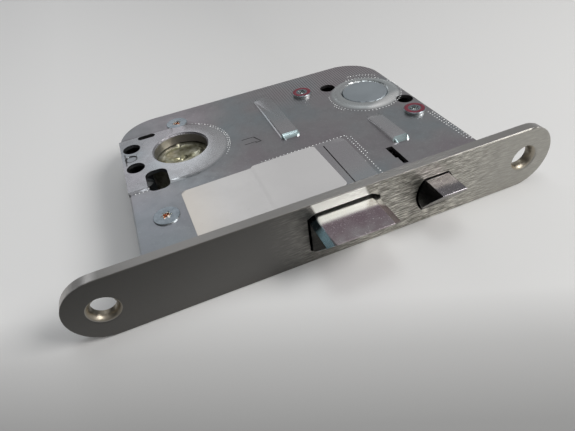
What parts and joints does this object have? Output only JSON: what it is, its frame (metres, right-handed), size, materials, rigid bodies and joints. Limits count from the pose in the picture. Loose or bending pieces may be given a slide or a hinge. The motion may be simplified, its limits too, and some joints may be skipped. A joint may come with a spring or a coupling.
{
  "type": "mortise lock",
  "caption": "Mortise lock with a long round-ended faceplate, a bevelled latch, a trigger bolt and a flat sheet-steel case with cylinder and follower holes.",
  "frame": {"origin": "middle of the faceplate's front face, on the case's mid-plane", "axes": "+X along the faceplate from the cylinder's end to the follower's end, +Y into the door, +Z through the door's thickness, out of the cover"},
  "size_m": [0.141, 0.0882, 0.02],
  "materials": {
    "plated_case": "zinc-plated sheet steel, satin",
    "faceplate": "brushed stainless steel",
    "bolt": "polished nickel plate",
    "hub": "dull brass",
    "steel": "bright steel, as stamped",
    "spring": "drawn spring steel",
    "screw": "zinc-plated screw steel",
    "cap": "blue-grey plated cap",
    "label": "blank grey film label"
  },
  "bodies": {
    "case": {"faceplate": "faceplate", "case_tray": "plated_case", "case_cover": "plated_case", "spacer_posts": "steel", "flat_head_screws": "screw", "pan_head_screws": "screw", "latch_spring": "spring", "latch_guide": "steel", "trigger_spring": "spring", "trigger_guide": "steel", "deadlock_stud": "steel", "deadlock_spring": "spring", "retaining_clip": "spring", "front_cap": "cap", "rear_cap": "cap", "inspection_label": "label"},
    "latch": {"latch_head": "bolt", "latch_tail": "steel", "latch_pin": "steel"},
    "trigger": {"trigger_bolt": "bolt"},
    "lever": {"deadlock_lever": "steel"},
    "hub": {"cylinder_hub": "hub"},
    "follower": {"follower": "steel"}
  },
  "joints": [
    {"name": "latch_slide", "type": "slide", "parent": "case", "child": "latch", "axis": [0, 1, 0], "range_m": [0, 0.0115], "stiffness_N_per_m": 600, "springref_m": -0.006, "deforming": ["latch_spring"]},
    {"name": "trigger_slide", "type": "slide", "parent": "case", "child": "trigger", "axis": [0, 1, 0], "range_m": [0, 0.0078], "stiffness_N_per_m": 300, "springref_m": -0.004, "deforming": ["trigger_spring"]},
    {"name": "hub_turn", "type": "hinge", "parent": "case", "child": "hub", "pos_m": [-0.0306, 0.05, 0], "axis": [0, 0, 1], "range_deg": [-0.05, 43.5]},
    {"name": "follower_turn", "type": "hinge", "parent": "case", "child": "follower", "pos_m": [0.036, 0.05, 0], "axis": [0, 0, 1], "range_deg": [-46.8, 0.05]},
    {"name": "lever_turn", "type": "hinge", "parent": "case", "child": "lever", "pos_m": [0.0189, 0.0096, 0], "axis": [0, 0, 1], "range_deg": [-0.05, 8.05], "deforming": ["deadlock_spring"]}
  ],
  "couplings": [
    {"joint": "hub_turn", "follows": "latch_slide", "rad_per_m": 65.937},
    {"joint": "follower_turn", "follows": "latch_slide", "rad_per_m": -70.951},
    {"joint": "lever_turn", "follows": "trigger_slide", "rad_per_m": 17.901}
  ]
}
